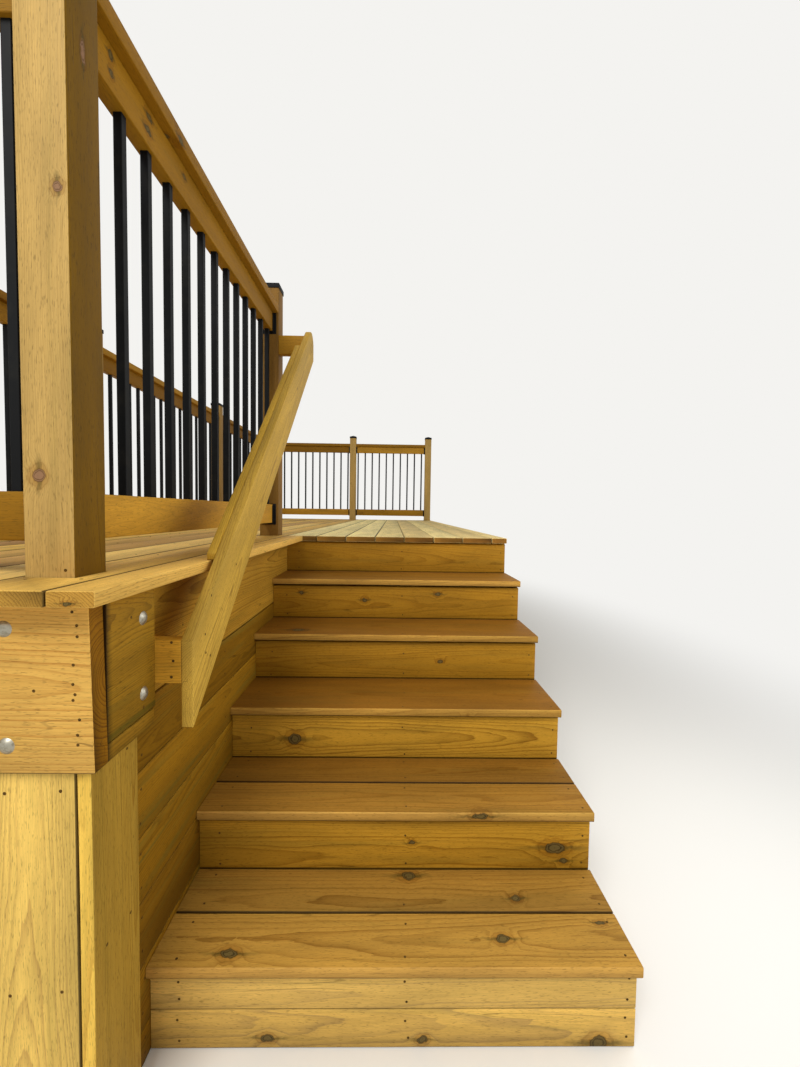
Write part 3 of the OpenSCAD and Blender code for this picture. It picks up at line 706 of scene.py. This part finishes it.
postNodes = ("corner_post", "newel_post", "left_posts", "back_posts")
postBoxes = [(low - slack, high + slack) for node in postNodes for low, high in solidsOf(node)]
for i, shadesAndTones in enumerate(flight["treadToneAndShade"], 1):
    boardsFor("tread_%d" % i, treadPine, 100 + i, flight["treadEdge"], shadesAndTones=shadesAndTones,
              pith=flight["treadPith"], dark=flight["treadShadeAndDirt"], highlight=flight["noseHighlight"])
boardsFor("risers", riserPine, 120, flight["riserEdge"], pith=flight["riserPith"],
          shadesAndTones=flight["riserToneAndShade"], dark=flight["riserShadeAndDirt"])
boardsFor("wing_decking", deckPine, 131, flight["deckEdge"], cuts=postBoxes, pith=flight["deckPith"],
          shadesAndTones=flight["wingToneAndSun"], dark=flight["deckShadeAndDirt"])
boardsFor("landing_decking", landingPine, 132, flight["deckEdge"], cuts=postBoxes,
          pith=flight["deckPith"], shadesAndTones=flight["landingSunAndShade"], dark=flight["deckShadeAndDirt"])
easedCopy("stringers", framePine, flight["stringerEdge"], 2,
          Vector((0, steps["going"], steps["rise"])).normalized(), 140)
print("flight and decking built")

framing = {
    "edge": 3.0,  # mm
    "plankEdge": 2.0,
    "frontPith": (207, 0, 30, 0),  # just behind the middle of the front board
    "frontShadeAndDirt": ((down, True),),
    "plankShadeAndDirt": ((front, True), (down, True)),
    "outOfSquare": 6.0,  # how much shorter the front board is at its top
    "sawnEnd": 5.0,  # what of its end moves
}
fascia = boardsFor("front_fascia", fasciaPine, 150, framing["edge"], pith=framing["frontPith"],
                   dark=framing["frontShadeAndDirt"])
fasciaLow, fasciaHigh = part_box("front_fascia")
for v in fascia.data.vertices:
    if v.co.x > fasciaHigh.x - framing["sawnEnd"] * mm:
        share = (v.co.z - fasciaLow.z) / (fasciaHigh.z - fasciaLow.z)
        v.co.x -= framing["outOfSquare"] * mm * share
boardsFor("side_ply", plyPine, 153, framing["plankEdge"], along=1, dark=framing["plankShadeAndDirt"])
for i, node in enumerate(("front_rim", "side_rim", "left_rim", "back_rim", "landing_header", "house_ledger",
                          "deck_joists", "skirting_nailers")):
    boardsFor(node, framePine, 160 + i, framing["edge"])
print("framing built")

railing = {
    "postEdge": 3.0,  # mm
    "railEdge": 2.8,
    "capBevel": 1.2,
    "bracketBevel": 0.7,
    "handrailEdge": 3.0,
    "stripEdge": 2.0,
    "handrailSlope": 40.0,  # degrees
    "cornerPith": (225, 10, 150, 10),
    "postFaceShade": 1.0,  # the near post's right face wholly painted with shade
    # painted shade on the handrail's top edge
    "handrailTopShade": 0.25,
    # tone, and painted light and shade: the near top rail darker for the cap's shade, the near bottom rail
    # lighter
    "shadesAndTones": {"corner_post": (-0.2,), "newel_post": (0.9,), "left_posts": (0.3, 0.1, 0.4, 0.0),
              "back_posts": (-0.3, -0.1), "near_bottom_rail": (-0.9,), "near_top_rail": (0.7,),
              "handrail_lower_block": (-0.6,)},
}
for i, node in enumerate(postNodes):
    posts = boardsFor(node, postPine, 170 + i, railing["postEdge"], shadesAndTones=railing["shadesAndTones"][node],
                      pith=railing["cornerPith"] if i < 2 else None)
    if node == "corner_post":
        paintFaceShade(posts, right, railing["postFaceShade"])
for i, node in enumerate((
        "near_bottom_rail", "near_top_rail", "near_cap_rail", "front_bottom_rail", "front_top_rail",
        "front_cap_rail", "left_bottom_rails", "left_top_rails", "left_cap_rails", "back_bottom_rails",
        "back_top_rails", "back_cap_rails", "handrail_lower_block", "handrail_upper_block")):
    boardsFor(node, blockPine if node == "handrail_lower_block" else railPine, 180 + i,
              railing["railEdge"], shadesAndTones=railing["shadesAndTones"].get(node, ()))
slope = math.radians(railing["handrailSlope"])
downRail = Vector((0, math.cos(slope), math.sin(slope)))
handrail = easedCopy("handrail", handPine, railing["handrailEdge"], 3, downRail, 200)
paintFaceShade(handrail, Vector((0, -math.sin(slope), math.cos(slope))), railing["handrailTopShade"])
easedCopy("handrail_strip", handPine, railing["stripEdge"], 2, downRail, 201)
easedCopy("post_caps", blackCoat, railing["capBevel"], 2)
easedCopy("rail_brackets", blackCoat, railing["bracketBevel"], 2)
print("posts and rails built")

skirting = {
    "edge": 3.0,  # mm
    "sidePith": (180, 40, 70, 30),
    "frontPith": (270, 35, 70, 20),
    "levelShadeAndDirt": ((down, True),),
    "uprightShadeAndDirt": ((right, True),),
    "cornerFaceShade": 0.65,  # painted shade: the corner board's right face darker than its edge
}
for i, node in enumerate(("side_skirting", "left_skirting", "back_skirting")):
    boardsFor(node, skirtPine, 205 + i, skirting["edge"], pith=skirting["sidePith"],
              dark=skirting["levelShadeAndDirt"])
boardsFor("front_skirting", frontPine, 208, skirting["edge"], along=2, pith=skirting["frontPith"],
          dark=skirting["uprightShadeAndDirt"])
cornerBoard = boardsFor("corner_board", frontPine, 209, skirting["edge"], along=2,
                        pith=skirting["frontPith"])
paintFaceShade(cornerBoard, right, skirting["cornerFaceShade"])
print("skirting built")

for node in ("near_balusters", "front_balusters", "left_balusters", "back_balusters", "rim_bolts",
             "bolt_nuts"):
    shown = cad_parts[node]
    shown.data.materials.clear()
    shown.data.materials.append(boltZinc if "bolt" in node else blackCoat)
print("carried-over nodes finished")

fixings = {
    "deckHead": 2.9,  # radius of a deck screw's head, mm
    "nailHead": 2.6,
    "bracketHead": 3.4,
    "inset": 26.0,  # from a board's edge
    "endInset": 12.0,  # from a board's end
    "astray": 5.0,  # how far a fixing is off its line at most
    "columns": (58, 563, 1054),  # from the flight's left end
    "frontRows": (60, 104, 370, 720),  # heights on the upright boards
    "nailerReach": 30.0,  # a nailer this near a board's face carries it
    "postReach": 60.0,  # a post this near a bracket carries it
    "capSpacing": 450.0,
    "capInset": 40.0,
    "plate": 3.0,  # thickness of a bracket
    "plateSpots": (27.5, 20.0, 18.0),  # screws in it: from its middle, bottom and top
    # fixings that the photograph shows one by one, from the stair corner: on faces to the right, then on
    # faces to the front
    "rightSpots": (
        (38, -126, 986), (38, -80, 802), (25.4, -119, 745), (25.4, -190, 420), (25.4, -120, 420),
        (25.4, -190, 90), (25.4, -120, 90), (115.4, 23, 926), (115.4, 27, 880), (115.4, 52, 867),
        (115.4, 54, 999), (115.4, 228, 1050), (115.4, 1310, 1990), (115.4, 1325, 1955), (0, 170, 905),
        (0, 640, 905), (0, 1100, 905)),
    "frontSpots": ((69, -39, 918), (72, -39, 884), (68, -39, 849), (-53, -160, 1077)),
    "frontBoardSpots": (
        (10, 1025), (12, 1004), (9, 982), (11, 942), (10, 906), (12, 891), (9, 878), (11, 853), (9, 818),
        (12, 808), (-60, 897), (-700, 1000), (-700, 850), (-1300, 1000), (-1300, 850)),
    "seed": 7,
}


def headMesh(rings, lobes=6):
    # head of a screw on its side of the surface, in units of its radius; the inner rings are the drive recess
    shape = bmesh.new()
    loops = []
    for radius, height, starred in rings:
        loop = []
        for i in range(2 * lobes):
            r = radius * (0.72 if starred and i % 2 else 1.0)
            a = math.pi * i / lobes
            loop.append(shape.verts.new((r * math.cos(a), r * math.sin(a), height)))
        loops.append(loop)
    for one, two in zip(loops, loops[1:]):
        for i in range(2 * lobes):
            j = (i + 1) % (2 * lobes)
            shape.faces.new((one[i], one[j], two[j], two[i]))
    shape.faces.new(loops[-1])
    shape.faces.new(list(reversed(loops[0])))
    bmesh.ops.recalc_face_normals(shape, faces=shape.faces)
    return bpy.data.objects.new("head", meshOf(shape, "head"))


deckScrew = headMesh([(0.9, -0.3, False), (1.0, 0.0, False), (1.0, 0.07, False), (0.9, 0.13, False),
                      (0.52, 0.13, True), (0.44, 0.02, True)])
panScrew = headMesh([(1.0, -0.1, False), (1.0, 0.16, False), (0.86, 0.34, False), (0.5, 0.42, False),
                     (0.34, 0.42, True), (0.28, 0.2, True)])


def fixingTree(material):
    # heads on points, each facing out of its board and turned by chance
    tree = bpy.data.node_groups.new("fixings", "GeometryNodeTree")
    for name, kind in (("Points", "NodeSocketGeometry"), ("Head", "NodeSocketObject"),
                       ("Head Radius", "NodeSocketFloat"), ("Seed", "NodeSocketInt")):
        tree.interface.new_socket(name=name, in_out="INPUT", socket_type=kind)
    tree.interface.new_socket(name="Heads", in_out="OUTPUT", socket_type="NodeSocketGeometry")
    given = add(tree, "NodeGroupInput", out=None)
    head = add(tree, "GeometryNodeObjectInfo", {"Object": given.outputs["Head"]}, out="Geometry")
    facing = add(tree, "GeometryNodeInputNamedAttribute", {"Name": "facing"}, data_type="FLOAT_VECTOR")
    upright = add(tree, "FunctionNodeAlignRotationToVector", {"Vector": facing}, axis="Z")
    spin = add(tree, "FunctionNodeRandomValue", {3: 2 * math.pi, "Seed": given.outputs["Seed"]}, out=1,
               data_type="FLOAT")
    spin = add(tree, "CombineXYZ", {2: spin})
    turned = add(tree, "FunctionNodeRotateRotation", [upright, spin], rotation_space="LOCAL")
    heads = add(tree, "GeometryNodeInstanceOnPoints", {
        "Points": given.outputs["Points"], "Instance": head, "Rotation": turned,
        "Scale": given.outputs["Head Radius"]})
    real = add(tree, "GeometryNodeRealizeInstances", [heads])
    finished = add(tree, "GeometryNodeSetMaterial", {0: real, "Material": material})
    add(tree, "NodeGroupOutput", [finished], out=None)
    return tree


def fixingsPiece(name, spots, head, radius, material):
    spots = list(spots)
    points = bpy.data.meshes.new("points")
    points.from_pydata([place for place, facing in spots], [], [])
    points.attributes.new("facing", "FLOAT_VECTOR", "POINT")
    points.attributes["facing"].data.foreach_set("vector", [c for place, facing in spots for c in facing])
    holder = inScene("points", points)
    tree = fixingTree(material)
    ids = {item.name: item.identifier for item in tree.interface.items_tree if item.in_out == "INPUT"}
    modifier = holder.modifiers.new("fixings", "NODES")
    modifier.node_group = tree
    modifier[ids["Head"]] = head
    modifier[ids["Head Radius"]] = radius * mm
    modifier[ids["Seed"]] = fixings["seed"]
    mesh = bpy.data.meshes.new_from_object(holder.evaluated_get(bpy.context.evaluated_depsgraph_get()))
    holder.modifiers.clear()
    bpy.data.objects.remove(holder)
    print(name, len(spots), "heads,", len(mesh.polygons), "faces")
    return placePiece(name, mesh, material)


inset = fixings["inset"] * mm
endInset = fixings["endInset"] * mm
chance = random.Random(fixings["seed"])


def onFace(place, facing, face):
    # a fixing near place, exactly in the plane of the face, and the way that it faces
    where = place + Vector([chance.uniform(-1, 1) * fixings["astray"] * mm for _ in range(3)])
    for i in range(3):
        if facing[i]:
            where[i] = face
    return where, facing


def flightFixings():
    columns = [stairPoint(x, 0, 0).x for x in fixings["columns"]]
    for node in ("tread_1", "tread_2", "tread_3", "tread_4", "tread_5"):
        for low, high in solidsOf(node):
            rows = [low.y + inset, high.y - inset]
            if high.y - low.y > 0.2:
                rows.append((low.y + high.y) / 2)
            for x in columns:
                for y in rows:
                    yield onFace(Vector((x, y, 0)), up, high.z)
    for low, high in solidsOf("risers"):
        for x in columns:
            for z in (low.z + 0.25 * (high.z - low.z), high.z - 0.25 * (high.z - low.z)):
                yield onFace(Vector((x, 0, z)), front, low.y)


def deckFixings():
    bearers = [b for node in ("deck_joists", "front_rim", "back_rim", "landing_header")
               for b in solidsOf(node)]
    for node in ("wing_decking", "landing_decking"):
        for low, high in solidsOf(node):
            for bearLow, bearHigh in bearers:
                y = (bearLow.y + bearHigh.y) / 2
                y = min(max(y, low.y + endInset), high.y - endInset)
                for x in (low.x + inset, high.x - inset):
                    over = bearLow.x < x < bearHigh.x and bearLow.y < y < bearHigh.y
                    post = any(a.x < x < b.x and a.y - 0.01 < y < b.y + 0.01 for a, b in postBoxes)
                    if over and not post:
                        yield onFace(Vector((x, y, 0)), up, high.z)


def skirtingFixings():
    for node, facing in (("side_skirting", right), ("left_skirting", left), ("back_skirting", back)):
        for low, high in solidsOf(node):
            yield from sideRows(facing, low, high)


def sideRows(facing, low, high):
    # two screws in every upright nailer that the board crosses
    rows = [low.z + 0.25 * (high.z - low.z), high.z - 0.25 * (high.z - low.z)]
    across = 0 if abs(facing.x) > 0.5 else 1
    face = high[across] if facing[across] > 0 else low[across]
    for nailLow, nailHigh in solidsOf("skirting_nailers"):
        gap = min(abs(nailLow[across] - face), abs(nailHigh[across] - face))
        if gap > fixings["nailerReach"] * mm or nailLow.z > 10 * mm:
            continue
        middle = (nailLow + nailHigh) / 2
        for z in rows:
            yield onFace(Vector((middle.x, middle.y, z)), facing, face)


def frontFixings():
    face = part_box("front_skirting")[0].y
    for low, high in solidsOf("front_skirting"):
        for z in fixings["frontRows"]:
            for x in (low.x + inset, high.x - inset):
                yield onFace(Vector((x, 0, z * mm)), front, face)
    for x, y, z in fixings["rightSpots"]:
        yield onFace(stairPoint(x, y, z), right, stairPoint(x, 0, 0).x)
    for x, y, z in fixings["frontSpots"]:
        yield onFace(stairPoint(x, 0, z), front, stairPoint(0, y, 0).y)


def fasciaFixings():
    for x, z in fixings["frontBoardSpots"]:
        yield onFace(stairPoint(x, 0, z), front, fasciaLow.y)


def capRailFixings():
    end = fixings["capInset"] * mm
    for node in ("near_cap_rail", "front_cap_rail", "left_cap_rails", "back_cap_rails"):
        for low, high in solidsOf(node):
            size = high - low
            axis = 0 if size.x > size.y else 1
            count = max(2, round(size[axis] / (fixings["capSpacing"] * mm)))
            for i in range(count):
                place = (low + high) / 2
                place[axis] = low[axis] + end + (size[axis] - 2 * end) * i / (count - 1)
                yield onFace(place, up, high.z)


def bracketFixings():
    # four in each plate, on the side away from its post
    plate, reach = fixings["plate"] * mm, fixings["postReach"] * mm
    fromMiddle, fromBottom, fromTop = [v * mm for v in fixings["plateSpots"]]
    for low, high in solidsOf("rail_brackets"):
        size = high - low
        axis = 0 if size.y > size.x else 1
        side = 1 - axis
        middle = (low + high) / 2
        posts = [(p, q) for p, q in postBoxes if p.x < middle.x + reach and q.x > middle.x - reach
                 and p.y < middle.y + reach and q.y > middle.y - reach]
        towards = 1 if min(abs(q[axis] - low[axis]) for p, q in posts) < 10 * mm else -1
        facing = Vector((0, 0, 0))
        facing[axis] = towards
        face = low[axis] + plate if towards > 0 else high[axis] - plate
        for s in (-1, 1):
            for z in (low.z + fromBottom, high.z - fromTop):
                place = middle.copy()
                place[side] += s * fromMiddle
                place[axis] = face
                place.z = z
                yield place, facing


for name, spots, head in (
        ("flightScrews", flightFixings(), "deckHead"), ("deckScrews", deckFixings(), "deckHead"),
        ("skirtingScrews", skirtingFixings(), "deckHead"), ("frontScrews", frontFixings(), "deckHead"),
        ("fasciaNails", fasciaFixings(), "nailHead"), ("capRailScrews", capRailFixings(), "deckHead")):
    fixingsPiece(name, spots, deckScrew, fixings[head], screwZinc)
fixingsPiece("bracketScrews", bracketFixings(), panScrew, fixings["bracketHead"], blackCoat)
print("fixings placed")

studio = {
    "floor": "#f1efe9",
    "backdrop": "#f4f3f0",
    "floorHalf": 60.0,  # metres
    "fadeFrom": 1.3,  # metres from the middle of the stairs
    "fadeTo": 4.4,
    "fadeLength": 1.9,  # how many times as far it is along the stairs
    "worldStrength": 0.5,
    # place and target from the stair corner in mm, watts and size in metres
    "lamps": (("keyLamp", (-900, -3700, 5200), (300, 400, 800), 235.0, 2.6),
              ("sideLamp", (1850, 350, 1500), (700, 450, 300), 14.5, 1.7),
              ("fillLamp", (3500, -2500, 3000), (300, 400, 800), 8.0, 4.0)),
}


def makeFloor(s):
    # pale floor that fades into the backdrop's colour, so no horizon shows
    mesh = bpy.data.meshes.new("floor")
    size = s["floorHalf"]
    corners = [(-size, -size, 0), (size, -size, 0), (size, size, 0), (-size, size, 0)]
    mesh.from_pydata(corners, [], [(0, 1, 2, 3)])
    floor = inScene("floor", mesh)
    material, t = emptyMaterial("paleStudioFloor")
    here = add(t, "TexCoord", out="Object")
    here = add(t, "VectorMath:MULTIPLY", [here, (1, 1 / s["fadeLength"], 1)])
    reach = add(t, "VectorMath:LENGTH", [here], out="Value")
    fade = add(t, "MapRange", [reach, s["fadeFrom"], s["fadeTo"], 0.0, 1.0],
               interpolation_type="SMOOTHERSTEP")
    plain = add(t, "BsdfDiffuse", {"Color": linear(s["floor"])})
    glow = add(t, "Emission", {"Color": linear(s["backdrop"]), "Strength": 1.0})
    mixed = add(t, "MixShader", [fade, plain, glow])
    add(t, "OutputMaterial", {"Surface": mixed}, out=None)
    mesh.materials.append(material)


def makeWorld(s):
    world = bpy.data.worlds.new("softStudio")
    bpy.context.scene.world = world
    world.use_nodes = True
    t = world.node_tree
    t.nodes.clear()
    path = add(t, "LightPath", out=None)
    seen = add(t, "Math:ADD", [path.outputs["Is Camera Ray"], path.outputs["Is Glossy Ray"]], use_clamp=True)
    strength = add(t, "MapRange", {"Value": seen, 3: s["worldStrength"], 4: 1.0})
    background = add(t, "Background", {"Color": linear(s["backdrop"]), "Strength": strength})
    add(t, "OutputWorld", {"Surface": background}, out=None)


def makeLamp(name, place, target, power, size):
    data = bpy.data.lights.new(name, "AREA")
    data.energy = power
    data.shape = "SQUARE"
    data.size = size
    lamp = inScene(name, data)
    lamp.location = place
    lamp.rotation_euler = (target - place).to_track_quat("-Z", "Y").to_euler()
    lamp.visible_camera = False


makeFloor(studio)
makeWorld(studio)
for name, place, target, power, size in studio["lamps"]:
    makeLamp(name, stairPoint(*place), stairPoint(*target), power, size)
bpy.context.scene.view_settings.view_transform = "Standard"
print("studio lit")
